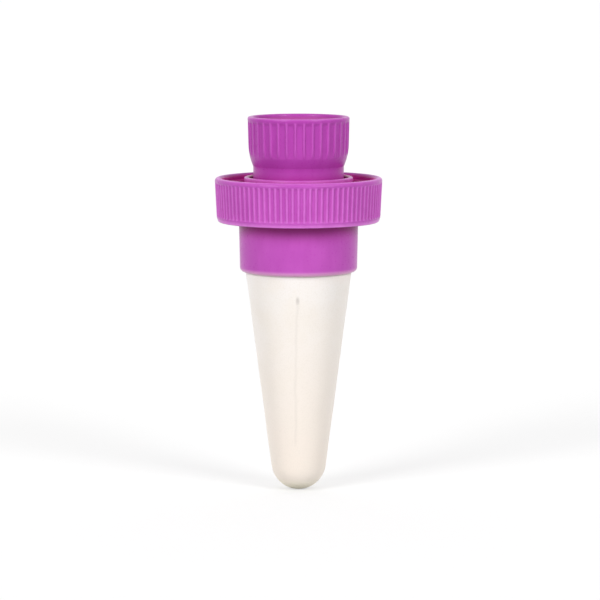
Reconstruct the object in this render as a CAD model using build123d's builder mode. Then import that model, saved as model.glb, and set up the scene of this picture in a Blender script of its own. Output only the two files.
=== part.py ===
from build123d import *
from math import asin, atan2, degrees, hypot, radians, tan
import os

# A self watering spike. A porous ceramic cone hangs in a plastic sleeve. A wide ribbed collar round the
# sleeve's boss takes the neck of a jug, and a ribbed socket screwed into the boss takes the neck of a bottle.
# The origin is on the axis at the soil line, the plane of the sleeve's lower lip. Sizes are in millimetres.

# Ceramic cone
CONE_LENGTH = 69.4  # soil line to tip
CONE_DIAMETER = 33.4  # at the soil line
CONE_TIP_RADIUS = 8.7
CONE_WALL = 3.2
CONE_RIM_ROUND = 0.6
SEAM_TOP = 6.2  # below the soil line
SEAM_LENGTH = 48.8
SEAM_WIDTH = 0.5
SEAM_DEPTH = 0.2
SEAMS = 2

# Sleeve round the head of the cone
SLEEVE_HEIGHT = 15.7  # soil line to the shoulder that carries the collar
SLEEVE_WALL = 1.95
SLEEVE_DRAFT = 1.3  # degrees
SLEEVE_LIP_ROUND = 0.6
SEAT_WIDTH = 1.4  # least width of the shoulder under the collar
WEB_THICKNESS = 2.5
WATERWAY_DIAMETER = 19.0
CONE_GASKET_THICKNESS = 1.2

# Socket for a bottle neck of 28 mm
BOTTLE_THREAD_DIAMETER = 27.9  # at the root of the socket's thread
BOTTLE_THREAD_PITCH = 3.18
BOTTLE_THREAD_TURNS = 2.0
BOTTLE_LEAD_IN = 2.0  # length of the plain mouth above the thread
SOCKET_DEPTH = 12.5
CUP_WALL = 2.05
CUP_DRAFT = 1.4  # degrees
CUP_FLOOR = 2.0
CUP_FLOOR_RISE = 0.6  # underside of the floor above the neck's top
CUP_RIM_ROUND = 0.6
CUP_RIBS = 36
CUP_RIB_WIDTH = 0.9
CUP_RIB_HEIGHT = 0.4
CUP_FIRST_RIB = -83.6  # degrees
CUP_PLAIN_BAND = 1.1
SHOULDER_INSET = 1.4  # radius lost from the wall of the cup to the neck
SHOULDER_ANGLE = 23.0  # degrees from upright
SHOULDER_ROUND_SHARE = 0.9  # share of the shoulder's slope taken up by its round
NECK_STEP = 0.2
NECK_SHOWN = 4.0  # neck between the collar's rim and the cup
FLOW_HOLE_DIAMETER = 16.0
WASHER_THICKNESS = 1.2

# Spigot of the socket and its boss on the sleeve
SPIGOT_WALL = 3.0
SPIGOT_LEAD_ROUND = 0.5
SPIGOT_THREAD_PITCH = 3.0
SPIGOT_THREAD_TURNS = 1.5
SPIGOT_THREAD_HEIGHT = 1.1
BOSS_THREAD_HEIGHT = 1.0
BOSS_WALL = 1.45
BOSS_LEAD_IN = 2.0
BOSS_RIM_ROUND = 0.5
SEAL_HEIGHT = 4.0  # plain bore at the bottom of the boss
SEAL_CHAMFER = 0.4
O_RING_CORD = 1.7

# Collar for a jug neck of 48 mm
JUG_THREAD_DIAMETER = 48.0  # at the root of the collar's thread
JUG_THREAD_PITCH = 4.0
JUG_THREAD_TURNS = 1.25
JUG_LEAD_IN = 2.0
COLLAR_HEIGHT = 13.9
COLLAR_WALL = 2.35
COLLAR_FLOOR = 2.0
COLLAR_DRAFT = 2.9  # degrees
COLLAR_BASE_TAPER = 0.4  # radius lost below the ribs
COLLAR_BASE_ROUND = 0.6
COLLAR_RIM_ROUND = 1.0
COLLAR_RIBS = 90
COLLAR_RIB_WIDTH = 0.9
COLLAR_RIB_HEIGHT = 0.35
COLLAR_FIRST_RIB = -90.0  # degrees
COLLAR_PLAIN_BAND = 1.3
COLLAR_BASE_BAND = 1.5
JUG_WASHER_THICKNESS = 1.5
JUG_WASHER_WIDTH = 3.0

# Ribs, half round with a narrow flat along the crest
RIB_CREST_CUT = 0.03
RIB_OVERRUN = 1.0  # how far a rib's bar passes the ends of the ribbed wall

# Thread ridges, all of one trapezoid: width at the wall and at the crest
BOTTLE_RIDGE = (1.9, 0.9)
BOTTLE_RIDGE_HEIGHT = 1.2
JUG_RIDGE = (2.1, 1.0)
JUG_RIDGE_HEIGHT = 1.2
SPIGOT_RIDGE = (1.9, 1.0)
BOSS_RIDGE = (1.7, 0.9)
RIDGE_ROOT = 0.4  # how far a ridge is sunk into its wall
RIDGE_LAND = 0.5  # plain wall between a ridge and the lead-in above it

# Clearances, each on one side
CONE_FIT = 0.12
COLLAR_FIT = 0.1
THREAD_FIT = 0.3
SEAL_FIT = 0.2
O_RING_FIT = 0.05
GROOVE_PLAY = 0.15
WASHER_FIT = 0.2
LEAD_IN_FIT = 0.25

# Heights
shoulder_z = SLEEVE_HEIGHT
web_underside = shoulder_z - WEB_THICKNESS
cone_top = web_underside - CONE_GASKET_THICKNESS
seal_top = shoulder_z + SEAL_HEIGHT
spigot_thread_z = seal_top + THREAD_FIT + SPIGOT_RIDGE[0] / 2
boss_thread_z = spigot_thread_z + SPIGOT_THREAD_PITCH / 2
boss_top = boss_thread_z + SPIGOT_THREAD_PITCH * SPIGOT_THREAD_TURNS + BOSS_RIDGE[0] / 2 + BOSS_LEAD_IN
collar_rim = shoulder_z + COLLAR_HEIGHT
collar_floor = shoulder_z + COLLAR_FLOOR
jug_thread_top = collar_rim - JUG_LEAD_IN - LEAD_IN_FIT - RIDGE_LAND - JUG_RIDGE[0] / 2
jug_thread_z = jug_thread_top - JUG_THREAD_PITCH * JUG_THREAD_TURNS
cup_base = collar_rim + NECK_SHOWN
cup_floor_underside = cup_base + CUP_FLOOR_RISE
cup_floor = cup_floor_underside + CUP_FLOOR
cup_rim = cup_floor + SOCKET_DEPTH
bottle_thread_top = cup_rim - BOTTLE_LEAD_IN - LEAD_IN_FIT - RIDGE_LAND - BOTTLE_RIDGE[0] / 2
bottle_thread_z = bottle_thread_top - BOTTLE_THREAD_PITCH * BOTTLE_THREAD_TURNS

# Radii, from the socket out to the boss, from the cone out to the sleeve, and of the collar
socket_radius = BOTTLE_THREAD_DIAMETER / 2
cup_rim_radius = socket_radius + CUP_WALL
neck_radius = cup_rim_radius - (cup_rim - cup_base) * tan(radians(CUP_DRAFT)) - SHOULDER_INSET
spigot_bore = neck_radius - SPIGOT_WALL
seal_radius = neck_radius + SEAL_FIT
groove_radius = seal_radius - O_RING_CORD - 2 * O_RING_FIT
boss_thread_radius = neck_radius + SPIGOT_THREAD_HEIGHT + THREAD_FIT
boss_radius = boss_thread_radius + BOSS_WALL
cone_radius = CONE_DIAMETER / 2
sleeve_bore = cone_radius + CONE_FIT
sleeve_radius = max(sleeve_bore + SLEEVE_WALL, boss_radius + COLLAR_FIT + SEAT_WIDTH)
sleeve_lip_radius = sleeve_radius - SLEEVE_HEIGHT * tan(radians(SLEEVE_DRAFT))
jug_radius = JUG_THREAD_DIAMETER / 2
collar_hole = boss_radius + COLLAR_FIT
collar_rim_radius = jug_radius + COLLAR_WALL


def cup_radius(height):
    """Outside of the cup's drafted wall, at the crests of its ribs."""
    return cup_rim_radius - (cup_rim - height) * tan(radians(CUP_DRAFT))


def collar_radius(height):
    """Outside of the collar's drafted wall, at the crests of its ribs."""
    return collar_rim_radius - (collar_rim - height) * tan(radians(COLLAR_DRAFT))


def rounded_outline(*corners):
    """Closed outline through corners given as radius, height and rounding."""
    FilletPolyline([corner[:2] for corner in corners], radius=[corner[2] for corner in corners], close=True)


def ring_section(inner, outer):
    """Flat ring between two radii."""
    Circle(outer)
    Circle(inner, mode=Mode.SUBTRACT)


def round_radius(width, height):
    """Radius of a round that is this wide at this height below its top."""
    return (width**2 / 4 + height**2) / (2 * height)


def bar_along(low, high, bar_radius, outside, overrun=0):
    """Round bar with its axis this far outside a wall at +X, whose upright outline runs from low to high."""
    low_point = Vector(low[0], 0, low[1])
    run = Vector(high[0], 0, high[1]) - low_point
    outward = run.cross(Vector(0, -1, 0)).normalized()
    start = low_point + outward * outside - run.normalized() * overrun
    with BuildPart(Plane(start, z_dir=run)) as bar:
        Cylinder(bar_radius, run.length + 2 * overrun, align=(Align.CENTER, Align.CENTER, Align.MIN))
    return bar.part


def rib_gaps(low, high, count, first, width, height):
    """Ring that fills the gaps between the ribs of a wall whose upright outline runs from low to high."""
    rib_radius = round_radius(width, height)
    rib = bar_along(low, high, rib_radius, RIB_CREST_CUT - rib_radius, RIB_OVERRUN)
    with BuildPart() as ring:
        with BuildSketch(Plane.XZ):
            Polygon(
                (low[0] - height, low[1]),
                (low[0] + height, low[1]),
                (high[0] + height, high[1]),
                (high[0] - height, high[1]),
                align=None,
            )
        revolve(axis=Axis.Z)
        with PolarLocations(0, count, start_angle=first):
            add(rib, mode=Mode.SUBTRACT)
    return ring.part


def thread_ridge(wall_radius, start, pitch, turns, widths, height, inward):
    """Helical ridge of trapezoid section on a round wall, from start upwards."""
    side = -1 if inward else 1
    half_crest = widths[1] / 2
    half_root = widths[0] / 2 + (widths[0] - widths[1]) / 2 * RIDGE_ROOT / height
    with BuildPart() as ridge:
        with BuildLine() as path:
            Helix(pitch, pitch * turns, wall_radius, center=(0, 0, start))
        with BuildSketch(Plane(path.line @ 0, x_dir=(side, 0, 0), z_dir=path.line % 0)):
            Polygon(
                (-RIDGE_ROOT, -half_root),
                (height, -half_crest),
                (height, half_crest),
                (-RIDGE_ROOT, half_root),
                align=None,
            )
        sweep(path=path.line, is_frenet=True)
    return ridge.part


# The cone's flank touches its round tip, and its inside lies one wall within
tip_centre = CONE_TIP_RADIUS - CONE_LENGTH
cone_slope = atan2(cone_radius, -tip_centre) - asin(CONE_TIP_RADIUS / hypot(cone_radius, tip_centre))
tip_sweep = 90 - degrees(cone_slope)
cone_bore = cone_radius - CONE_WALL

seam_low = -SEAM_TOP - SEAM_LENGTH
seam_radius = round_radius(SEAM_WIDTH, SEAM_DEPTH)
seam_bar = bar_along(
    (cone_radius + seam_low * tan(cone_slope), seam_low),
    (cone_radius - SEAM_TOP * tan(cone_slope), -SEAM_TOP),
    seam_radius,
    seam_radius - SEAM_DEPTH,
)

with BuildPart() as ceramic_cone:
    with BuildSketch(Plane.XZ):
        with BuildLine():
            tip = CenterArc((0, tip_centre), CONE_TIP_RADIUS, -90, tip_sweep)
            bore_tip = CenterArc((0, tip_centre), CONE_TIP_RADIUS - CONE_WALL, -90, tip_sweep)
            FilletPolyline(
                tip @ 1,
                (cone_radius, 0),
                (cone_radius, cone_top),
                (cone_bore, cone_top),
                (cone_bore, CONE_WALL * tan(cone_slope / 2)),
                bore_tip @ 1,
                radius=[0, CONE_RIM_ROUND, CONE_RIM_ROUND, 0],
            )
            Line(bore_tip @ 0, tip @ 0)
        make_face()
    revolve(axis=Axis.Z)
    with PolarLocations(0, SEAMS, start_angle=90):
        add(seam_bar, mode=Mode.SUBTRACT)

with BuildPart() as cone_gasket:
    with BuildSketch(Plane.XY.offset(cone_top)):
        ring_section(cone_bore, cone_radius)
    extrude(amount=CONE_GASKET_THICKNESS)

boss_ridge = thread_ridge(
    boss_thread_radius,
    boss_thread_z,
    SPIGOT_THREAD_PITCH,
    SPIGOT_THREAD_TURNS,
    BOSS_RIDGE,
    BOSS_THREAD_HEIGHT,
    inward=True,
)

with BuildPart() as cone_sleeve:
    with BuildSketch(Plane.XZ):
        with BuildLine():
            rounded_outline(
                (sleeve_bore, 0, 0),
                (sleeve_lip_radius, 0, SLEEVE_LIP_ROUND),
                (sleeve_radius, shoulder_z, 0),
                (boss_radius, shoulder_z, 0),
                (boss_radius, boss_top, BOSS_RIM_ROUND),
                (boss_thread_radius, boss_top, BOSS_RIM_ROUND),
                (boss_thread_radius, seal_top, 0),
                (seal_radius + SEAL_CHAMFER, seal_top, 0),
                (seal_radius, seal_top - SEAL_CHAMFER, 0),
                (seal_radius, shoulder_z, 0),
                (WATERWAY_DIAMETER / 2, shoulder_z, 0),
                (WATERWAY_DIAMETER / 2, web_underside, 0),
                (sleeve_bore, web_underside, 0),
            )
        make_face()
    revolve(axis=Axis.Z)
    add(boss_ridge)

collar_band = shoulder_z + COLLAR_BASE_BAND
collar_gaps = rib_gaps(
    (collar_radius(collar_band), collar_band),
    (collar_radius(collar_rim - COLLAR_PLAIN_BAND), collar_rim - COLLAR_PLAIN_BAND),
    COLLAR_RIBS,
    COLLAR_FIRST_RIB,
    COLLAR_RIB_WIDTH,
    COLLAR_RIB_HEIGHT,
)
jug_ridge = thread_ridge(
    jug_radius, jug_thread_z, JUG_THREAD_PITCH, JUG_THREAD_TURNS, JUG_RIDGE, JUG_RIDGE_HEIGHT, inward=True
)

with BuildPart() as jug_collar:
    with BuildSketch(Plane.XZ):
        with BuildLine():
            rounded_outline(
                (collar_hole, shoulder_z, 0),
                (collar_radius(shoulder_z) - COLLAR_BASE_TAPER, shoulder_z, COLLAR_BASE_ROUND),
                (collar_radius(collar_band), collar_band, 0),
                (collar_rim_radius, collar_rim, COLLAR_RIM_ROUND),
                (jug_radius + LEAD_IN_FIT, collar_rim, COLLAR_RIM_ROUND),
                (jug_radius + LEAD_IN_FIT, collar_rim - JUG_LEAD_IN, 0),
                (jug_radius, collar_rim - JUG_LEAD_IN - LEAD_IN_FIT, 0),
                (jug_radius, collar_floor, COLLAR_RIM_ROUND),
                (collar_hole, collar_floor, 0),
            )
        make_face()
    revolve(axis=Axis.Z)
    add(collar_gaps, mode=Mode.SUBTRACT)
    add(jug_ridge)

jug_washer_radius = jug_radius - COLLAR_RIM_ROUND
jug_washer_hole = max(jug_washer_radius - JUG_WASHER_WIDTH, boss_radius + WASHER_FIT)

with BuildPart() as jug_washer:
    with BuildSketch(Plane.XY.offset(collar_floor)):
        ring_section(jug_washer_hole, jug_washer_radius)
    extrude(amount=JUG_WASHER_THICKNESS)

# The shoulder of the cup slopes in from its drafted wall to a small step round the neck
shoulder_height = SHOULDER_INSET / tan(radians(SHOULDER_ANGLE))
cup_turn = cup_base + shoulder_height
shoulder_run = cup_radius(cup_turn) - neck_radius - NECK_STEP
shoulder_bend = atan2(shoulder_run, shoulder_height) - radians(CUP_DRAFT)
shoulder_round = SHOULDER_ROUND_SHARE * hypot(shoulder_run, shoulder_height) / tan(shoulder_bend / 2)
cup_gaps = rib_gaps(
    (cup_radius(cup_base), cup_base),
    (cup_radius(cup_rim - CUP_PLAIN_BAND), cup_rim - CUP_PLAIN_BAND),
    CUP_RIBS,
    CUP_FIRST_RIB,
    CUP_RIB_WIDTH,
    CUP_RIB_HEIGHT,
)
bottle_ridge = thread_ridge(
    socket_radius,
    bottle_thread_z,
    BOTTLE_THREAD_PITCH,
    BOTTLE_THREAD_TURNS,
    BOTTLE_RIDGE,
    BOTTLE_RIDGE_HEIGHT,
    inward=True,
)
spigot_ridge = thread_ridge(
    neck_radius,
    spigot_thread_z,
    SPIGOT_THREAD_PITCH,
    SPIGOT_THREAD_TURNS,
    SPIGOT_RIDGE,
    SPIGOT_THREAD_HEIGHT,
    inward=False,
)
groove_half_width = O_RING_CORD / 2 + GROOVE_PLAY
o_ring_z = shoulder_z + SEAL_HEIGHT / 2

with BuildPart() as bottle_adapter:
    with BuildSketch(Plane.XZ):
        with BuildLine():
            rounded_outline(
                (spigot_bore, shoulder_z, 0),
                (neck_radius, shoulder_z, SPIGOT_LEAD_ROUND),
                (neck_radius, o_ring_z - groove_half_width, 0),
                (groove_radius, o_ring_z - groove_half_width, 0),
                (groove_radius, o_ring_z + groove_half_width, 0),
                (neck_radius, o_ring_z + groove_half_width, 0),
                (neck_radius, cup_base, 0),
                (neck_radius + NECK_STEP, cup_base, 0),
                (cup_radius(cup_turn), cup_turn, shoulder_round),
                (cup_rim_radius, cup_rim, CUP_RIM_ROUND),
                (socket_radius + LEAD_IN_FIT, cup_rim, CUP_RIM_ROUND),
                (socket_radius + LEAD_IN_FIT, cup_rim - BOTTLE_LEAD_IN, 0),
                (socket_radius, cup_rim - BOTTLE_LEAD_IN - LEAD_IN_FIT, 0),
                (socket_radius, cup_floor, 0),
                (FLOW_HOLE_DIAMETER / 2, cup_floor, 0),
                (FLOW_HOLE_DIAMETER / 2, cup_floor_underside, 0),
                (spigot_bore, cup_floor_underside, 0),
            )
        make_face()
    revolve(axis=Axis.Z)
    add(cup_gaps, mode=Mode.SUBTRACT)
    add(bottle_ridge)
    add(spigot_ridge)

with BuildPart() as adapter_o_ring:
    with Locations((0, 0, o_ring_z)):
        Torus(seal_radius - O_RING_FIT - O_RING_CORD / 2, O_RING_CORD / 2)

with BuildPart() as bottle_washer:
    with BuildSketch(Plane.XY.offset(cup_floor)):
        ring_section(FLOW_HOLE_DIAMETER / 2 + WASHER_FIT, socket_radius - WASHER_FIT)
    extrude(amount=WASHER_THICKNESS)

pieces = {
    "ceramic_cone": ceramic_cone,
    "cone_gasket": cone_gasket,
    "cone_sleeve": cone_sleeve,
    "jug_collar": jug_collar,
    "jug_washer": jug_washer,
    "bottle_adapter": bottle_adapter,
    "adapter_o_ring": adapter_o_ring,
    "bottle_washer": bottle_washer,
}

os.makedirs("parts", exist_ok=True)
for name, piece in pieces.items():
    piece.part.label = name
    export_step(piece.part, f"parts/{name}.step")
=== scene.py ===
import math
from typing import NamedTuple

import bmesh
import bpy
import numpy as np
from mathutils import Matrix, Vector


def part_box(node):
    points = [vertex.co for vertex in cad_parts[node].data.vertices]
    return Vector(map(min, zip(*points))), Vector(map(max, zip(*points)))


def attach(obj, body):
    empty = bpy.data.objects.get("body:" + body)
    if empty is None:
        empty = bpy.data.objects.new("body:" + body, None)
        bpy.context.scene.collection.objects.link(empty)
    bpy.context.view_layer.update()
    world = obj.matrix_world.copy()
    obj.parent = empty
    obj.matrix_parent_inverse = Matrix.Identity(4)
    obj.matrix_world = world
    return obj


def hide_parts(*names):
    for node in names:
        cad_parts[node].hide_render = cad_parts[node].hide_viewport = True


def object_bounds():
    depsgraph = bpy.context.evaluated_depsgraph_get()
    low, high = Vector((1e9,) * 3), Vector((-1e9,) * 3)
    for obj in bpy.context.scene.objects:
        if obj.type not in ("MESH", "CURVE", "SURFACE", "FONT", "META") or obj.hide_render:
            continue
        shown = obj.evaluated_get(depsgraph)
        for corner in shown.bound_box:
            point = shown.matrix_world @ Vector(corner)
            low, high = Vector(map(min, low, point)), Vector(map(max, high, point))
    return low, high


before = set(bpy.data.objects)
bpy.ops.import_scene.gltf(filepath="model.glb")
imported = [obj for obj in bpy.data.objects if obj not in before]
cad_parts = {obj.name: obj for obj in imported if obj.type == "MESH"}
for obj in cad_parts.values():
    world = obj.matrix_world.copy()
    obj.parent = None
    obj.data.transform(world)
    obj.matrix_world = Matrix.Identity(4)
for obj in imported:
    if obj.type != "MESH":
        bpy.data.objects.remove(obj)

cad_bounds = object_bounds()


class Thread(NamedTuple):
    """Helical ridge: pitch, turns, width at the wall and at the crest, and rise above the wall."""

    pitch: float
    turns: float
    root: float
    crest: float
    rise: float


# Sizes are in millimetres, as on the object, and become metres where a mesh is made
MM = 0.001

# Cone
CONE_DIAMETER = 33.4
CONE_TIP_RADIUS = 8.7
CONE_WALL = 3.2
CONE_RIM_ROUND = 0.6

# Seams down two sides of the cone. They stray to the left, ASIDE at their upper end and by LEAN more once BEND of
# their length is passed, and waver by waves of a height and a turn per millimetre
SEAM_TOP = 6.2
SEAM_LENGTH = 48.8
SEAM_REACH = 0.75
SEAM_DEPTH = 0.06
SEAM_HEAD_FADE = 1.0
SEAM_FOOT_FADE = 2.0
SEAM_ASIDE = 0.28
SEAM_LEAN = 0.7
SEAM_BEND = 0.4
SEAM_WAVES = ((0.12, 0.31), (0.07, 0.83))
SEAM_WAVES_START = 0.1
SEAM_SHADE = 0.1

# Pit at the upper end of a seam, with the share of it that is at full depth
PIT_DEPTH = 0.2
PIT_LENGTH = 3.2
PIT_WIDTH = 1.5
PIT_FLOOR = 0.3
PIT_SHADE = 0.42

# Uneven fired surface: waves round the cone, their turn per millimetre of height and their start
FIRED_WAVES = ((3, 0.21, 0.0), (5, -0.35, 1.7))
FIRED_HEIGHT = 0.02
FIRED_FADE_TOP = 2.0
FIRED_FADE_TIP = 3.0

# Sleeve and its boss, with the heights over which painted light makes the lip paler and a painted highlight makes
# the boss paler
SLEEVE_WALL = 1.95
SLEEVE_DRAFT = math.radians(1.3)
SLEEVE_LIP_ROUND = 1.3
SLEEVE_LIP_LIGHT_HEIGHT = 1.8
CONE_FIT = 0.12
WEB_RADIUS = 9.5
BOSS_WALL = 1.45
BOSS_RIM_ROUND = 0.5
BOSS_HIGHLIGHT_HEIGHT = 2.0
SEAL_HEIGHT = 4.0
SEAL_FIT = 0.2
SEAL_CHAMFER = 0.4

# Socket for a bottle
CUP_RIM_RADIUS = 16.0
CUP_WALL = 2.05
CUP_DRAFT = math.radians(1.4)
CUP_FLOOR = 2.0
CUP_FLOOR_RISE = 0.6
CUP_RIM_ROUND = 0.6
CUP_RIBS = 36
CUP_RIB_WIDTH = 0.9
CUP_RIB_HEIGHT = 0.4
CUP_FIRST_RIB = math.radians(-83.6)
CUP_PLAIN_BAND = 1.1
SHOULDER_INSET = 1.4
SHOULDER_ANGLE = math.radians(23.0)
SHOULDER_ROUND_SHARE = 0.9
NECK_STEP = 0.2
NECK_FILLET = 0.5
FLOW_HOLE_RADIUS = 8.0
SPIGOT_WALL = 3.0
SPIGOT_LEAD_ROUND = 0.5
O_RING_CORD = 1.7
GROOVE_PLAY = 0.15
GROOVE_DEPTH = 1.6

# Collar for a jug
COLLAR_RIM_RADIUS = 26.35
COLLAR_WALL = 2.35
COLLAR_DRAFT = math.radians(2.9)
COLLAR_BASE_TAPER = 0.4
COLLAR_BASE_ROUND = 0.6
COLLAR_RIM_ROUND = 1.0
COLLAR_FIT = 0.1
COLLAR_RIBS = 90
COLLAR_RIB_WIDTH = 0.9
COLLAR_RIB_HEIGHT = 0.35
COLLAR_FIRST_RIB = math.radians(-90.0)
COLLAR_PLAIN_BAND = 1.3
COLLAR_BASE_BAND = 1.5

# Threads. THREAD_RUN_OUT is in turns
BOTTLE_THREAD = Thread(pitch=3.18, turns=2.0, root=1.9, crest=0.9, rise=1.2)
JUG_THREAD = Thread(pitch=4.0, turns=1.25, root=2.1, crest=1.0, rise=1.2)
SPIGOT_THREAD = Thread(pitch=3.0, turns=1.5, root=1.9, crest=1.0, rise=1.1)
BOSS_THREAD = Thread(pitch=3.0, turns=1.5, root=1.7, crest=0.9, rise=1.0)
THREAD_FIT = 0.3
THREAD_RUN_OUT = 0.08
RIDGE_LAND = 0.5
LEAD_IN = 2.0
LEAD_IN_FIT = 0.25

# Moulded softness: edges that the solids leave sharp, and the ends of the gaps between ribs
EDGE_ROUND = 0.15
COLLAR_GAP_END = 0.8
CUP_GAP_END = 1.2

# Shares of the painted highlight, a paler tone, on rib crests, rims and the boss, and how far down inside a socket
# painted light stands in for light shining through its wall
CREST_HIGHLIGHT_SHARE = 0.5
RIM_HIGHLIGHT_SHARE = 0.5
BOSS_HIGHLIGHT_SHARE = 0.3
GLOW_DEPTH = 8.0

# Steps of the meshes, and half the angle of the strip at a seam that has closer columns
ARC_STEP = 0.25
ARC_LEAST_STEPS = 4
SLEEVE_COLUMNS = 240
CONE_COLUMNS = 200
SEAM_COLUMNS = 12
SEAM_STRIP = 0.06
POLE_REACH = 0.001

# Columns of a ribbed wall, as shares of the pitch from the middle of a rib
COLLAR_RIB_COLUMNS = (-0.28, -0.23, -0.17, -0.09, 0.0, 0.09, 0.17, 0.23, 0.28, 0.5)
CUP_RIB_COLUMNS = (-0.36, -0.22, -0.175, -0.145, -0.1, -0.05, 0.0, 0.05, 0.1, 0.145, 0.175, 0.22, 0.36, 0.5)

# Plastic: sizes of the clouds and streaks in its pigment, of the patches in the painted highlight on its crests and
# of its satin skin, the reach of the occlusion that paints shade into its hollows, and the painted light on the
# sleeve's lip
CLOUD_GRAIN = 9.0
STREAK_GRAIN = 2.5
STREAK_STRETCH = (1, 1, 0.2)
HIGHLIGHT_PATCH_GRAIN = 3.0
SKIN_GRAIN = 0.6
SKIN_RELIEF = 0.001
SHADE_OCCLUSION_REACH = 10.0
PLASTIC_IOR = 1.49
PLASTIC_SPECULAR = 0.2
LIP_PAINTED_LIGHT = (0.78, 0.40, 0.66)

# Ceramic: its tones, and sizes of its blotches, its grain and the yellower patches at its foot
CLAY_TOP = (0.885, 0.858, 0.834)
CLAY_FOOT = (0.865, 0.782, 0.706)
CLAY_BLOTCH = (0.855, 0.800, 0.735)
CLAY_PORE = (0.78, 0.73, 0.67)
CLAY_TIP_TINT = (0.90, 0.88, 0.66)
CLAY_SEAM = (0.42, 0.39, 0.36)
BLOTCH_GRAIN = 11.0
PORE_GRAIN = 0.45
PORE_RELIEF = 0.03
TIP_TINT_GRAIN = 4.0
TIP_TINT_HEIGHT = 5.0

# Rubber: its tones, and sizes of its bloom and of its grain
RUBBER_DARK = (0.030, 0.030, 0.033)
RUBBER_BLOOM = (0.055, 0.055, 0.058)
BLOOM_GRAIN = 1.2
RUBBER_GRAIN = 0.3
RUBBER_RELIEF = 0.01

# Stage: pale floor under the tip, white surround that is brighter behind, and two soft lamps in front
FRONT_LEVEL = 0.30
BEHIND_LEVEL = 1.4
LAMP_SPREAD = math.radians(26)
LAMP_HEIGHT = math.radians(24)
LAMP_SIDE = math.radians(40)
LEFT_LEVEL = 1.84
RIGHT_LEVEL = 1.63
FLOOR_HALF = 20.0  # metres
FLOOR_TONE = 0.5
FLOOR_LIFT = 0.52

# Camera: its distance, its height above the horizon, the point that it looks at and the width that it shows there
CAMERA_DISTANCE = 1050.0
CAMERA_HEIGHT = math.radians(6.6)
CAMERA_AIM = (0.45, 0.0, -9.2)
CAMERA_SENSOR = 36.0
FRAME_WIDTH = 189.2


def node_box(node):
    """Lowest and highest corner of a solid of the frame, in millimetres."""
    low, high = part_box(node)
    return low / MM, high / MM


# Heights from the frame
collar_low, collar_high = node_box("jug_collar")
sleeve_low, sleeve_high = node_box("cone_sleeve")
cone_low, cone_high = node_box("ceramic_cone")
shoulder_z = collar_low.z
collar_rim = collar_high.z
collar_floor = node_box("jug_washer")[0].z
boss_top = sleeve_high.z
web_underside = node_box("cone_gasket")[1].z
cup_rim = node_box("bottle_adapter")[1].z
cup_floor = node_box("bottle_washer")[0].z
cup_floor_underside = cup_floor - CUP_FLOOR
cup_base = cup_floor_underside - CUP_FLOOR_RISE
seal_top = shoulder_z + SEAL_HEIGHT
o_ring_z = shoulder_z + SEAL_HEIGHT / 2
spigot_thread_z = seal_top + THREAD_FIT + SPIGOT_THREAD.root / 2
boss_thread_z = spigot_thread_z + SPIGOT_THREAD.pitch / 2
seam_bottom = -SEAM_TOP - SEAM_LENGTH

# Radii
socket_radius = CUP_RIM_RADIUS - CUP_WALL
neck_radius = CUP_RIM_RADIUS - (cup_rim - cup_base) * math.tan(CUP_DRAFT) - SHOULDER_INSET
seal_radius = neck_radius + SEAL_FIT
boss_thread_radius = neck_radius + SPIGOT_THREAD.rise + THREAD_FIT
boss_radius = boss_thread_radius + BOSS_WALL
cone_radius = CONE_DIAMETER / 2
cone_bore = cone_radius - CONE_WALL
sleeve_bore = cone_radius + CONE_FIT
sleeve_radius = sleeve_bore + SLEEVE_WALL
jug_radius = COLLAR_RIM_RADIUS - COLLAR_WALL
collar_hole = boss_radius + COLLAR_FIT

# The cone's flank touches its round tip
tip_centre = cone_low.z + CONE_TIP_RADIUS
cone_slope = math.atan2(cone_radius, -tip_centre) - math.asin(CONE_TIP_RADIUS / math.hypot(cone_radius, tip_centre))


def cup_radius(height):
    """Outside of the cup's drafted wall, at the crests of its ribs."""
    return CUP_RIM_RADIUS - (cup_rim - height) * math.tan(CUP_DRAFT)


def collar_radius(height):
    """Outside of the collar's drafted wall, at the crests of its ribs."""
    return COLLAR_RIM_RADIUS - (collar_rim - height) * math.tan(COLLAR_DRAFT)


def flank_radius(height):
    """Outside of the cone's flank."""
    return cone_radius + height * math.tan(cone_slope)


def smooth(low, high, value):
    """Soft step from 0 at low to 1 at high."""
    share = np.clip((value - low) / (high - low), 0, 1)
    return share * share * (3 - 2 * share)


def arc(centre, radius, start, sweep):
    """Points of a round stretch of an outline, with angles in radians."""
    steps = max(ARC_LEAST_STEPS, math.ceil(radius * abs(sweep) / ARC_STEP))
    turns = [start + sweep * step / steps for step in range(steps + 1)]
    return [Vector((centre[0] + radius * math.cos(turn), centre[1] + radius * math.sin(turn))) for turn in turns]


def outline(*corners):
    """Anticlockwise outline through corners of radius, height and rounding. A fourth value says how many rows
    the straight run to the next corner is cut into, and without it there are two."""
    arcs = []
    for number, corner in enumerate(corners):
        here = Vector(corner[:2])
        rounding = corner[2]
        if rounding == 0:
            arcs.append([here])
            continue
        back = (Vector(corners[number - 1][:2]) - here).normalized()
        ahead = (Vector(corners[(number + 1) % len(corners)][:2]) - here).normalized()
        half = back.angle(ahead) / 2
        centre = here + (back + ahead).normalized() * (rounding / math.sin(half))
        first = here + back * (rounding / math.tan(half)) - centre
        last = here + ahead * (rounding / math.tan(half)) - centre
        start = math.atan2(first.y, first.x)
        sweep = (math.atan2(last.y, last.x) - start + math.pi) % (2 * math.pi) - math.pi
        arcs.append(arc(centre, rounding, start, sweep))
    points = []
    for number, corner in enumerate(corners):
        rows = corner[3] if len(corner) > 3 else 2
        end = arcs[number][-1]
        following = arcs[(number + 1) % len(corners)][0]
        points += arcs[number]
        points += [end.lerp(following, row / rows) for row in range(1, rows)]
    return points


def add_object(name, data):
    """Object of the scene that holds a mesh, a lamp or a camera."""
    made = bpy.data.objects.new(name, data)
    bpy.context.scene.collection.objects.link(made)
    return made


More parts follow.
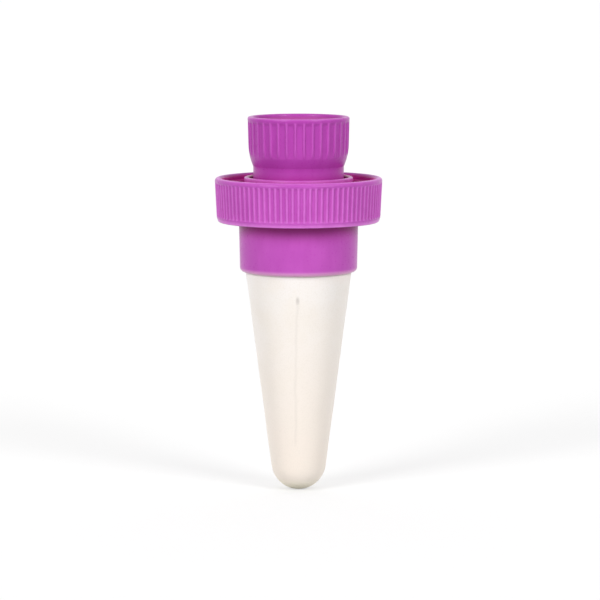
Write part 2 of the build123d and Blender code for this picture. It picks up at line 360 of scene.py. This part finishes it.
def unroll(mesh, angles, radius, height, rows):
    """Gives a lathe's mesh a map of its unrolled surface, for the textures that are baked from it."""
    around = (np.append(angles, angles[0] + 2 * math.pi) - angles[0]) / (2 * math.pi)
    steps = np.hypot(np.roll(radius, -1) - radius, np.roll(height, -1) - height)[:rows]
    along = np.append(0, np.cumsum(steps)) / steps.sum()
    left, low = np.meshgrid(around[:-1], along[:-1], indexing="ij")
    right, high = np.meshgrid(around[1:], along[1:], indexing="ij")
    corners = np.stack((left, low, right, low, right, high, left, high), axis=-1)
    mesh.uv_layers.new(name="OFBake").data.foreach_set("uv", corners.ravel())


def lathe(name, points, angles, shape, mark, twist=None, closed=True):
    """Object made by turning an outline about the axis. shape gives each point's true radius from its angle,
    radius and height, mark gives a share that is kept on the mesh as an attribute, twist turns a row of points,
    and an outline that isn't closed ends on the axis."""
    radius, height = np.array(points).T
    angle = np.array(angles)[:, None] + np.zeros_like(radius)
    true_radius = shape(angle, radius, height)
    marks = mark(angle, radius, height)
    if twist:
        angle = angle + twist(radius, height)
    places = np.stack(
        (true_radius * np.cos(angle), true_radius * np.sin(angle), height + np.zeros_like(angle)), axis=-1
    )
    here = np.arange(angle.size).reshape(angle.shape)
    beside = np.roll(here, -1, axis=0)
    quads = np.stack((here, beside, np.roll(beside, -1, axis=1), np.roll(here, -1, axis=1)), axis=-1)
    if not closed:
        quads = quads[:, :-1]
    mesh = bpy.data.meshes.new(name)
    mesh.from_pydata((places.reshape(-1, 3) * MM).tolist(), [], quads.reshape(-1, 4).tolist())
    unroll(mesh, angles, radius, height, quads.shape[1])
    mesh.attributes.new("mark", "FLOAT", "POINT").data.foreach_set("value", marks.ravel())
    if not closed:
        poles = bmesh.new()
        poles.from_mesh(mesh)
        bmesh.ops.remove_doubles(poles, verts=poles.verts, dist=POLE_REACH * MM)
        poles.to_mesh(mesh)
        poles.free()
    mesh.shade_smooth()
    return add_object(name, mesh)


def rib_angles(count, first, columns):
    """Angles of the columns of a ribbed wall, rib by rib."""
    return [first + (rib + share) * 2 * math.pi / count for rib in range(count) for share in columns]


def even_angles(count):
    """Evenly spaced angles round the axis."""
    return [step * 2 * math.pi / count for step in range(count)]


def rib_drop(angle, radius, count, first, width, height):
    """Depth below the crests of half round ribs, and no deeper than the wall between them."""
    ribs = (angle - first) * count / (2 * math.pi)
    from_rib = np.abs(ribs - np.round(ribs)) * 2 * math.pi * radius / count
    bead = (width**2 / 4 + height**2) / (2 * height)
    share = np.clip(from_rib / bead, 0, 1)
    return np.minimum(height, bead * (1 - np.sqrt(1 - share**2)))


def thread(angle, height, start, sizes):
    """Rise of a helical ridge above its wall, with both ends run out into the wall."""
    turn = (angle / (2 * math.pi)) % 1
    lift = (height - start) / sizes.pitch - turn
    wrap = np.round(lift)
    from_ridge = np.abs(lift - wrap) * sizes.pitch
    along = wrap + turn
    ends = smooth(0, THREAD_RUN_OUT, along) * smooth(0, THREAD_RUN_OUT, sizes.turns - along)
    return sizes.rise * ends * (1 - smooth(sizes.crest / 2, sizes.root / 2, from_ridge))


def thread_start(mouth, sizes):
    """Height of the lower end of a socket's thread below its mouth."""
    return mouth - LEAD_IN - LEAD_IN_FIT - RIDGE_LAND - sizes.root / 2 - sizes.pitch * sizes.turns


def on_wall(radius, wall):
    """True for the rows of an outline that lie on a wall of this radius."""
    return np.abs(radius - wall) < EDGE_ROUND / 10


def make_collar():
    """Wide ribbed collar with the thread for a jug inside it."""
    low = shoulder_z + COLLAR_BASE_BAND
    high = collar_rim - COLLAR_PLAIN_BAND
    points = outline(
        (collar_hole, shoulder_z, EDGE_ROUND, 3),
        (collar_radius(shoulder_z) - COLLAR_BASE_TAPER, shoulder_z, COLLAR_BASE_ROUND),
        (collar_radius(low), low, 0, 3),
        (collar_radius(low + COLLAR_GAP_END), low + COLLAR_GAP_END, 0, 5),
        (collar_radius(high - COLLAR_GAP_END), high - COLLAR_GAP_END, 0, 3),
        (collar_radius(high), high, 0),
        (COLLAR_RIM_RADIUS, collar_rim, COLLAR_RIM_ROUND, 1),
        (jug_radius + LEAD_IN_FIT, collar_rim, COLLAR_RIM_ROUND),
        (jug_radius + LEAD_IN_FIT, collar_rim - LEAD_IN, EDGE_ROUND),
        (jug_radius, collar_rim - LEAD_IN - LEAD_IN_FIT, EDGE_ROUND, 30),
        (jug_radius, collar_floor, COLLAR_RIM_ROUND, 3),
        (collar_hole, collar_floor, EDGE_ROUND),
    )

    def ribs(angle):
        return rib_drop(
            angle, COLLAR_RIM_RADIUS, COLLAR_RIBS, COLLAR_FIRST_RIB, COLLAR_RIB_WIDTH, COLLAR_RIB_HEIGHT
        )

    def shape(angle, radius, height):
        ends = smooth(low, low + COLLAR_GAP_END, height) * (1 - smooth(high - COLLAR_GAP_END, high, height))
        ribbed = np.minimum(radius, collar_radius(height) - ribs(angle) * ends)
        ridge = thread(angle, height, thread_start(collar_rim, JUG_THREAD), JUG_THREAD)
        threaded = radius - ridge * on_wall(radius, jug_radius)
        return np.where(radius > jug_radius + COLLAR_WALL / 2, ribbed, threaded)

    def mark(angle, radius, height):
        # Painted highlight: shares of the paler crest tone on rib crests, the rim's round and the base edge. Inside
        # the mouth, a share of painted light that stands in for light shining through the wall
        crest = 1 - ribs(angle) / COLLAR_RIB_HEIGHT
        rim = smooth(collar_rim - COLLAR_RIM_ROUND / 2, collar_rim, height)
        base = 1 - smooth(shoulder_z + COLLAR_BASE_ROUND / 2, shoulder_z + COLLAR_BASE_BAND, height)
        ribbed = (height > low) * (height < high)
        outside = np.where(ribbed, CREST_HIGHLIGHT_SHARE * crest, np.maximum(RIM_HIGHLIGHT_SHARE * rim, base))
        depth = collar_rim - height
        inside = smooth(GLOW_DEPTH, GLOW_DEPTH / 2, depth) * -smooth(0, LEAD_IN / 2, depth)
        return np.where(radius > jug_radius + COLLAR_WALL / 2, outside, inside)

    columns = rib_angles(COLLAR_RIBS, COLLAR_FIRST_RIB, COLLAR_RIB_COLUMNS)
    return lathe("collar", points, columns, shape, mark)


def make_adapter():
    """Ribbed cup for a bottle with its neck, spigot and threads."""
    spigot_bore = neck_radius - SPIGOT_WALL
    groove_radius = seal_radius - GROOVE_DEPTH - SEAL_FIT
    groove_half = O_RING_CORD / 2 + GROOVE_PLAY
    shoulder_height = SHOULDER_INSET / math.tan(SHOULDER_ANGLE)
    turn = cup_base + shoulder_height
    shoulder_run = cup_radius(turn) - neck_radius - NECK_STEP
    shoulder_bend = math.atan2(shoulder_run, shoulder_height) - CUP_DRAFT
    shoulder_slope = math.hypot(shoulder_run, shoulder_height)
    shoulder_round = SHOULDER_ROUND_SHARE * shoulder_slope / math.tan(shoulder_bend / 2)
    high = cup_rim - CUP_PLAIN_BAND
    thread_end = spigot_thread_z + SPIGOT_THREAD.pitch * SPIGOT_THREAD.turns + SPIGOT_THREAD.root
    points = outline(
        (spigot_bore, shoulder_z, EDGE_ROUND),
        (neck_radius, shoulder_z, SPIGOT_LEAD_ROUND),
        (neck_radius, o_ring_z - groove_half, EDGE_ROUND),
        (groove_radius, o_ring_z - groove_half, EDGE_ROUND),
        (groove_radius, o_ring_z + groove_half, EDGE_ROUND),
        (neck_radius, o_ring_z + groove_half, EDGE_ROUND, 24),
        (neck_radius, thread_end, 0, 4),
        (neck_radius, cup_base - NECK_FILLET, 0),
        (neck_radius + NECK_STEP, cup_base, NECK_STEP / 2, 3),
        (cup_radius(turn), turn, shoulder_round, 5),
        (cup_radius(high - CUP_GAP_END), high - CUP_GAP_END, 0, 4),
        (cup_radius(high), high, 0),
        (CUP_RIM_RADIUS, cup_rim, CUP_RIM_ROUND, 1),
        (socket_radius + LEAD_IN_FIT, cup_rim, CUP_RIM_ROUND),
        (socket_radius + LEAD_IN_FIT, cup_rim - LEAD_IN, EDGE_ROUND),
        (socket_radius, cup_rim - LEAD_IN - LEAD_IN_FIT, EDGE_ROUND, 36),
        (socket_radius, cup_floor, EDGE_ROUND, 3),
        (FLOW_HOLE_RADIUS, cup_floor, EDGE_ROUND),
        (FLOW_HOLE_RADIUS, cup_floor_underside, EDGE_ROUND),
        (spigot_bore, cup_floor_underside, EDGE_ROUND, 6),
    )

    def ribs(angle):
        return rib_drop(angle, CUP_RIM_RADIUS, CUP_RIBS, CUP_FIRST_RIB, CUP_RIB_WIDTH, CUP_RIB_HEIGHT)

    def shape(angle, radius, height):
        ends = 1 - smooth(high - CUP_GAP_END, high, height)
        ribbed = np.minimum(radius, cup_radius(height) - ribs(angle) * ends)
        socket_ridge = thread(angle, height, thread_start(cup_rim, BOTTLE_THREAD), BOTTLE_THREAD)
        spigot_ridge = thread(angle, height, spigot_thread_z, SPIGOT_THREAD)
        threaded = (
            radius
            - socket_ridge * on_wall(radius, socket_radius)
            + spigot_ridge * on_wall(radius, neck_radius)
        )
        return np.where(radius > neck_radius + NECK_STEP / 2, ribbed, threaded)

    def mark(angle, radius, height):
        # Painted highlight: shares of the paler crest tone on rib crests and the rim's round. Inside the mouth, a
        # share of painted light that stands in for light shining through the wall
        crest = 1 - np.maximum(cup_radius(height) - radius, ribs(angle)) / CUP_RIB_HEIGHT
        edge = smooth(cup_rim - CUP_RIM_ROUND, cup_rim - CUP_RIM_ROUND / 2, height)
        outside = np.where(height < high, CREST_HIGHLIGHT_SHARE * np.clip(crest, 0, 1), RIM_HIGHLIGHT_SHARE * edge)
        depth = cup_rim - height
        inside = smooth(GLOW_DEPTH, GLOW_DEPTH / 2, depth) * -smooth(0, LEAD_IN, depth)
        return np.where(radius > socket_radius + CUP_WALL / 2, outside, inside)

    columns = rib_angles(CUP_RIBS, CUP_FIRST_RIB, CUP_RIB_COLUMNS)
    return lathe("adapter_moulding", points, columns, shape, mark)


def make_sleeve():
    """Sleeve round the cone's head with the threaded boss above its shoulder."""
    points = outline(
        (sleeve_bore, sleeve_low.z, EDGE_ROUND),
        (sleeve_radius - shoulder_z * math.tan(SLEEVE_DRAFT), sleeve_low.z, SLEEVE_LIP_ROUND, 16),
        (sleeve_radius, shoulder_z, EDGE_ROUND),
        (boss_radius, shoulder_z, 0, 8),
        (boss_radius, boss_top, BOSS_RIM_ROUND),
        (boss_thread_radius, boss_top, BOSS_RIM_ROUND, 44),
        (boss_thread_radius, seal_top, 0),
        (seal_radius + SEAL_CHAMFER, seal_top, 0),
        (seal_radius, seal_top - SEAL_CHAMFER, EDGE_ROUND, 4),
        (seal_radius, shoulder_z, 0),
        (WEB_RADIUS, shoulder_z, EDGE_ROUND),
        (WEB_RADIUS, web_underside, EDGE_ROUND),
        (sleeve_bore, web_underside, 0, 8),
    )

    def shape(angle, radius, height):
        ridge = thread(angle, height, boss_thread_z, BOSS_THREAD)
        return radius - ridge * on_wall(radius, boss_thread_radius)

    def mark(angle, radius, height):
        # Painted highlight: a share of the paler crest tone on the boss's upper rim
        outside = radius > boss_radius - BOSS_WALL / 2
        pale = smooth(boss_top - BOSS_HIGHLIGHT_HEIGHT, boss_top - BOSS_RIM_ROUND, height)
        return BOSS_HIGHLIGHT_SHARE * outside * pale + np.zeros_like(angle)

    return lathe("sleeve", points, even_angles(SLEEVE_COLUMNS), shape, mark)


def seam_marks(angle, height):
    """Shares from 0 to 1 of the seams and of the pits at their upper ends."""
    turn = angle / math.pi - 0.5
    aside = np.abs(turn - np.round(turn)) * math.pi * flank_radius(height)
    head = 1 - smooth(-SEAM_TOP - SEAM_HEAD_FADE, -SEAM_TOP, height)
    ends = smooth(seam_bottom, seam_bottom + SEAM_FOOT_FADE, height) * head
    line = ends * (1 - smooth(0, SEAM_REACH, aside))
    pit_middle = -SEAM_TOP - PIT_LENGTH / 2
    from_pit = np.hypot(aside / (PIT_WIDTH / 2), (height - pit_middle) / (PIT_LENGTH / 2))
    pit = 1 - smooth(PIT_FLOOR, 1, from_pit)
    return line, pit


def cone_angles():
    """Angles round the cone, closer together at its two seams."""
    seam = np.linspace(-SEAM_STRIP, SEAM_STRIP, SEAM_COLUMNS + 1)
    wall = np.linspace(SEAM_STRIP, math.pi - SEAM_STRIP, CONE_COLUMNS // 2)[1:-1]
    return [side + step for side in (math.pi / 2, 3 * math.pi / 2) for step in (*seam, *wall)]


def make_cone():
    """Hollow ceramic cone with a round tip, a faint seam down two sides and an uneven fired surface. Its inside
    lies one wall within."""
    sweep = math.pi / 2 - cone_slope
    tip = arc((0, tip_centre), CONE_TIP_RADIUS, -math.pi / 2, sweep)
    bore_tip = arc((0, tip_centre), CONE_TIP_RADIUS - CONE_WALL, -math.pi / 2, sweep)
    bore_bend = (cone_bore, CONE_WALL * math.tan(cone_slope / 2))
    head = outline(
        (*tip[-1], 0, 130),
        (cone_radius, 0, 0, 8),
        (cone_radius, cone_high.z, CONE_RIM_ROUND),
        (cone_bore, cone_high.z, CONE_RIM_ROUND, 4),
        (*bore_bend, 0, 24),
        (*bore_tip[-1], 0, 1),
    )
    points = tip[:-1] + head + bore_tip[-2::-1]

    def on_outside(radius, height):
        return radius > flank_radius(height) - CONE_WALL / 2

    def shape(angle, radius, height):
        shown = on_outside(radius, height) * (height < 0)
        line, pit = seam_marks(angle, height)
        waves = sum(np.sin(count * angle + lean * height + start) for count, lean, start in FIRED_WAVES)
        uneven = FIRED_HEIGHT * (waves + len(FIRED_WAVES))
        uneven = uneven * smooth(0, FIRED_FADE_TOP, -height) * smooth(0, FIRED_FADE_TIP, radius)
        return radius - shown * (uneven + SEAM_DEPTH * line + PIT_DEPTH * pit)

    def mark(angle, radius, height):
        line, pit = seam_marks(angle, height)
        return on_outside(radius, height) * np.maximum(SEAM_SHADE * line, PIT_SHADE * pit)

    def twist(radius, height):
        down = np.clip((-SEAM_TOP - height) / SEAM_LENGTH, 0, 1)
        aside = SEAM_ASIDE * smooth(0, SEAM_TOP, -height) + SEAM_LEAN * smooth(0, SEAM_BEND, down)
        waver = sum(size * np.sin(turn * height) for size, turn in SEAM_WAVES)
        shift = aside + waver * smooth(0, SEAM_WAVES_START, down)
        return np.where(on_outside(radius, height), -shift / np.maximum(radius, CONE_TIP_RADIUS), 0)

    return lathe("cone", points, cone_angles(), shape, mark, twist, closed=False)


class Nodes:
    """Short words for the nodes of one material."""

    def __init__(self, name):
        self.material = bpy.data.materials.new(name)
        self.material.use_nodes = True
        self.tree = self.material.node_tree
        self.shader = self.tree.nodes["Principled BSDF"]
        self.place = self.add("ShaderNodeTexCoord").outputs["Object"]

    def add(self, kind, **settings):
        node = self.tree.nodes.new(kind)
        for name, value in settings.items():
            setattr(node, name, value)
        return node

    def link(self, source, socket):
        self.tree.links.new(source, socket)

    def height(self):
        """Height of a point, in metres."""
        node = self.add("ShaderNodeSeparateXYZ")
        self.link(self.place, node.inputs["Vector"])
        return node.outputs["Z"]

    def mark(self):
        """Share that a lathe keeps on its mesh."""
        return self.add("ShaderNodeAttribute", attribute_name="mark").outputs["Fac"]

    def noise(self, grain, detail, stretch=(1, 1, 1)):
        """Cloudy noise with lumps of about grain millimetres."""
        mapping = self.add("ShaderNodeMapping")
        mapping.inputs["Scale"].default_value = stretch
        self.link(self.place, mapping.inputs["Vector"])
        node = self.add("ShaderNodeTexNoise")
        node.inputs["Scale"].default_value = 1 / (grain * MM)
        node.inputs["Detail"].default_value = detail
        self.link(mapping.outputs["Vector"], node.inputs["Vector"])
        return node.outputs["Fac"]

    def between(self, value, low, high, to_low=0.0, to_high=1.0, smoothed=True):
        """Value spread from low..high onto to_low..to_high."""
        node = self.add("ShaderNodeMapRange", interpolation_type="SMOOTHSTEP" if smoothed else "LINEAR")
        for name, number in zip(("From Min", "From Max", "To Min", "To Max"), (low, high, to_low, to_high)):
            node.inputs[name].default_value = number
        self.link(value, node.inputs["Value"])
        return node.outputs["Result"]

    def times(self, first, second):
        node = self.add("ShaderNodeMath", operation="MULTIPLY")
        self.link(first, node.inputs[0])
        self.link(second, node.inputs[1])
        return node.outputs["Value"]

    def blend(self, share, first, second):
        """Colour between first and second, each a colour or a socket."""
        node = self.add("ShaderNodeMix", data_type="RGBA")
        self.link(share, node.inputs[0])
        for socket, colour in ((node.inputs[6], first), (node.inputs[7], second)):
            if isinstance(colour, tuple):
                socket.default_value = (*colour, 1)
            else:
                self.link(colour, socket)
        return node.outputs[2]

    def bump(self, height, depth, strength=1.0):
        """Surface relief of about depth millimetres."""
        node = self.add("ShaderNodeBump")
        node.inputs["Distance"].default_value = depth * MM
        node.inputs["Strength"].default_value = strength
        self.link(height, node.inputs["Height"])
        self.link(node.outputs["Normal"], self.shader.inputs["Normal"])


def purple_plastic(name, thin, full, dark, crest, painted_shade, lit):
    """Moulded plastic with faint clouds and streaks in its pigment and a fine satin skin. Painted highlight makes it
    paler along its crests, rims and edges, painted light makes its lowest lip paler, painted shade makes it a deeper
    red in its hollows, and painted light of light shining through its wall makes it crimson inside a socket's mouth.
    A mark above 0 is a share of the painted highlight's tone and one below 0 a share of the painted light."""
    paint = Nodes(name)
    clouds = paint.between(paint.noise(CLOUD_GRAIN, detail=3), 0.3, 0.7)
    streaks = paint.noise(STREAK_GRAIN, detail=2, stretch=STREAK_STRETCH)
    colour = paint.blend(clouds, thin, full)
    colour = paint.blend(paint.between(streaks, 0.35, 0.65, 0.0, 0.35), colour, dark)
    mark = paint.mark()
    # Painted highlight: where the mark is above 0, on crests, rims and edges, the colour goes towards the paler
    # crest tone, in patches set by this noise
    highlight_patches = paint.between(paint.noise(HIGHLIGHT_PATCH_GRAIN, detail=2), 0.2, 0.8, 0.7, 1.0)
    edges = paint.times(paint.between(mark, 0, 1, smoothed=False), highlight_patches)
    # Painted shade: where ambient occlusion finds surfaces close by, the colour goes to a darker, redder tone
    occlusion_shade = paint.add("ShaderNodeAmbientOcclusion", samples=8)
    occlusion_shade.inputs["Distance"].default_value = SHADE_OCCLUSION_REACH * MM
    colour = paint.blend(paint.between(occlusion_shade.outputs["AO"], 0.45, 0.9, 1.0, 0.0), colour, painted_shade)
    colour = paint.blend(edges, colour, crest)
    # Painted light: on the lowest millimetres above height 0, the sleeve's lip, the colour goes to a paler tone that
    # stands in for light bounced up onto the lip and shining through its edge
    colour = paint.blend(paint.between(paint.height(), 0, SLEEVE_LIP_LIGHT_HEIGHT * MM, 1.0, 0.0), colour, LIP_PAINTED_LIGHT)
    # Painted light: where the mark is below 0, inside a socket's mouth, the colour goes to the lit tone of light
    # shining through the wall
    colour = paint.blend(paint.between(mark, -1, 0, 1.0, 0.0), colour, lit)
    paint.link(colour, paint.shader.inputs["Base Color"])
    skin = paint.noise(SKIN_GRAIN, detail=2)
    paint.link(paint.between(skin, 0.3, 0.7, 0.27, 0.34), paint.shader.inputs["Roughness"])
    paint.bump(skin, SKIN_RELIEF)
    paint.shader.inputs["IOR"].default_value = PLASTIC_IOR
    paint.shader.inputs["Specular IOR Level"].default_value = PLASTIC_SPECULAR
    return paint.material


def fired_ceramic():
    """Unglazed cream ceramic, finely grained and pored, darker in its seams and yellower in patches towards the tip.
    """
    clay = Nodes("fired_ceramic")
    height = clay.height()
    low = cone_low.z * MM
    warmth = clay.between(height, low, 0, 1.0, 0.0, smoothed=False)
    colour = clay.blend(warmth, CLAY_TOP, CLAY_FOOT)
    blotches = clay.between(clay.noise(BLOTCH_GRAIN, detail=4), 0.35, 0.65, 0.0, 0.5)
    colour = clay.blend(blotches, colour, CLAY_BLOTCH)
    pores = clay.noise(PORE_GRAIN, detail=5)
    colour = clay.blend(clay.between(pores, 0.45, 0.75, 0.0, 0.35), colour, CLAY_PORE)
    foot = clay.between(height, low, low + TIP_TINT_HEIGHT * MM, 1.0, 0.0)
    tip_patches = clay.between(clay.noise(TIP_TINT_GRAIN, detail=3), 0.2, 0.7, 0.3, 0.7)
    colour = clay.blend(clay.times(foot, tip_patches), colour, CLAY_TIP_TINT)
    colour = clay.blend(clay.mark(), colour, CLAY_SEAM)
    clay.link(colour, clay.shader.inputs["Base Color"])
    clay.link(clay.between(pores, 0.3, 0.7, 0.82, 0.95), clay.shader.inputs["Roughness"])
    clay.bump(pores, PORE_RELIEF, strength=0.6)
    clay.shader.inputs["Diffuse Roughness"].default_value = 0.8
    return clay.material


def seal_rubber():
    """Dark matt rubber with a fine bloom."""
    rubber = Nodes("seal_rubber")
    bloom = rubber.between(rubber.noise(BLOOM_GRAIN, detail=4), 0.3, 0.7)
    rubber.link(rubber.blend(bloom, RUBBER_DARK, RUBBER_BLOOM), rubber.shader.inputs["Base Color"])
    rubber.link(rubber.between(bloom, 0, 1, 0.62, 0.78), rubber.shader.inputs["Roughness"])
    rubber.bump(rubber.noise(RUBBER_GRAIN, detail=2), RUBBER_RELIEF)
    return rubber.material


def dress(made, material, body, node):
    """Gives a piece its material and puts it in the place of its solid."""
    made.data.materials.append(material)
    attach(made, body)
    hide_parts(node)


# Painted sheen: the green in these tones is raised to stand in for the pale reflection of the white surround, the
# specular level being kept low. The crest tone is the painted highlight, the tone for hollows the painted shade and
# the lit tone the painted light inside a socket's mouth
plastic = purple_plastic(
    "purple_plastic",
    thin=(0.48, 0.078, 0.455),
    full=(0.52, 0.090, 0.490),
    dark=(0.45, 0.068, 0.415),
    crest=(0.82, 0.235, 0.800),
    painted_shade=(0.38, 0.012, 0.200),
    lit=(0.78, 0.034, 0.450),
)
# Painted shade: the cup is the same plastic as the collar and sleeve, its tones given about a tenth darker as shade
# that falls on it, with a weaker painted highlight and painted shade
shaded_cup_plastic = purple_plastic(
    "purple_cup_plastic",
    thin=(0.42, 0.050, 0.390),
    full=(0.455, 0.060, 0.425),
    dark=(0.39, 0.044, 0.355),
    crest=(0.62, 0.130, 0.590),
    painted_shade=(0.43, 0.036, 0.340),
    lit=(0.48, 0.085, 0.360),
)
rubber = seal_rubber()
dress(make_collar(), plastic, "spike", "jug_collar")
dress(make_sleeve(), plastic, "spike", "cone_sleeve")
dress(make_adapter(), shaded_cup_plastic, "adapter", "bottle_adapter")
dress(make_cone(), fired_ceramic(), "spike", "ceramic_cone")
for node in ("cone_gasket", "jug_washer", "adapter_o_ring", "bottle_washer"):
    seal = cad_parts[node]
    seal.data.materials.clear()
    seal.data.materials.append(rubber)


def seen_directly(nodes, links):
    """1 for rays of the camera, reflections and glass, and 0 for the light that falls on surfaces."""
    path = nodes.new("ShaderNodeLightPath")
    seen = path.outputs["Is Camera Ray"]
    for ray in ("Is Glossy Ray", "Is Transmission Ray"):
        either = nodes.new("ShaderNodeMath")
        either.operation = "MAXIMUM"
        links.new(seen, either.inputs[0])
        links.new(path.outputs[ray], either.inputs[1])
        seen = either.outputs["Value"]
    return seen


def ranged(nodes, links, value, low, high):
    """Number that goes from low to high as value goes from 0 to 1. low is a number or a socket."""
    node = nodes.new("ShaderNodeMapRange")
    if isinstance(low, float):
        node.inputs["To Min"].default_value = low
    else:
        links.new(low, node.inputs["To Min"])
    node.inputs["To Max"].default_value = high
    links.new(value, node.inputs["Value"])
    return node.outputs["Result"]


def make_surround():
    """White world, which lights the object more from behind than from the front."""
    world = bpy.data.worlds.new("surround")
    world.use_nodes = True
    bpy.context.scene.world = world
    nodes, links = world.node_tree.nodes, world.node_tree.links
    background = nodes["Background"]
    background.inputs["Color"].default_value = (1, 1, 1, 1)
    way = nodes.new("ShaderNodeSeparateXYZ")
    links.new(nodes.new("ShaderNodeTexCoord").outputs["Generated"], way.inputs["Vector"])
    fall = ranged(nodes, links, way.outputs["Y"], FRONT_LEVEL, BEHIND_LEVEL)
    links.new(ranged(nodes, links, seen_directly(nodes, links), fall, 1.0), background.inputs["Strength"])


def make_floor():
    """Pale floor under the tip, which looks white to the camera where no shadow falls."""
    mesh = bpy.data.meshes.new("floor")
    sides = ((-1, -1), (1, -1), (1, 1), (-1, 1))
    mesh.from_pydata([(x * FLOOR_HALF, y * FLOOR_HALF, cad_bounds[0].z) for x, y in sides], [], [(0, 1, 2, 3)])
    floor = add_object("floor", mesh)
    material = bpy.data.materials.new("pale_floor")
    material.use_nodes = True
    nodes, links = material.node_tree.nodes, material.node_tree.links
    shader = nodes["Principled BSDF"]
    shader.inputs["Base Color"].default_value = (FLOOR_TONE, FLOOR_TONE, FLOOR_TONE, 1)
    shader.inputs["Roughness"].default_value = 1
    shader.inputs["Specular IOR Level"].default_value = 0
    shader.inputs["Emission Color"].default_value = (1, 1, 1, 1)
    links.new(ranged(nodes, links, seen_directly(nodes, links), 0.0, FLOOR_LIFT), shader.inputs["Emission Strength"])
    mesh.materials.append(material)


def make_lamp(name, level, side):
    """Soft lamp in front of the object, turned aside by an angle that is positive to the right."""
    lamp = bpy.data.lights.new(name, "SUN")
    lamp.energy = level
    lamp.angle = LAMP_SPREAD
    across = math.cos(LAMP_HEIGHT)
    toward = Vector((math.sin(side) * across, -math.cos(side) * across, math.sin(LAMP_HEIGHT)))
    add_object(name, lamp).rotation_euler = toward.to_track_quat("Z", "Y").to_euler()


def make_camera():
    """Camera in front of the object, a little above it."""
    camera = bpy.data.cameras.new("camera")
    camera.sensor_width = CAMERA_SENSOR
    camera.lens = CAMERA_SENSOR * CAMERA_DISTANCE / FRAME_WIDTH
    made = add_object("camera", camera)
    back = Vector((0, -math.cos(CAMERA_HEIGHT), math.sin(CAMERA_HEIGHT)))
    made.location = (Vector(CAMERA_AIM) + back * CAMERA_DISTANCE) * MM
    made.rotation_euler = back.to_track_quat("Z", "Y").to_euler()
    bpy.context.scene.camera = made


make_surround()
make_floor()
make_lamp("left_lamp", LEFT_LEVEL, -LAMP_SIDE)
make_lamp("right_lamp", RIGHT_LEVEL, LAMP_SIDE)
make_camera()
bpy.context.scene.view_settings.view_transform = "Standard"
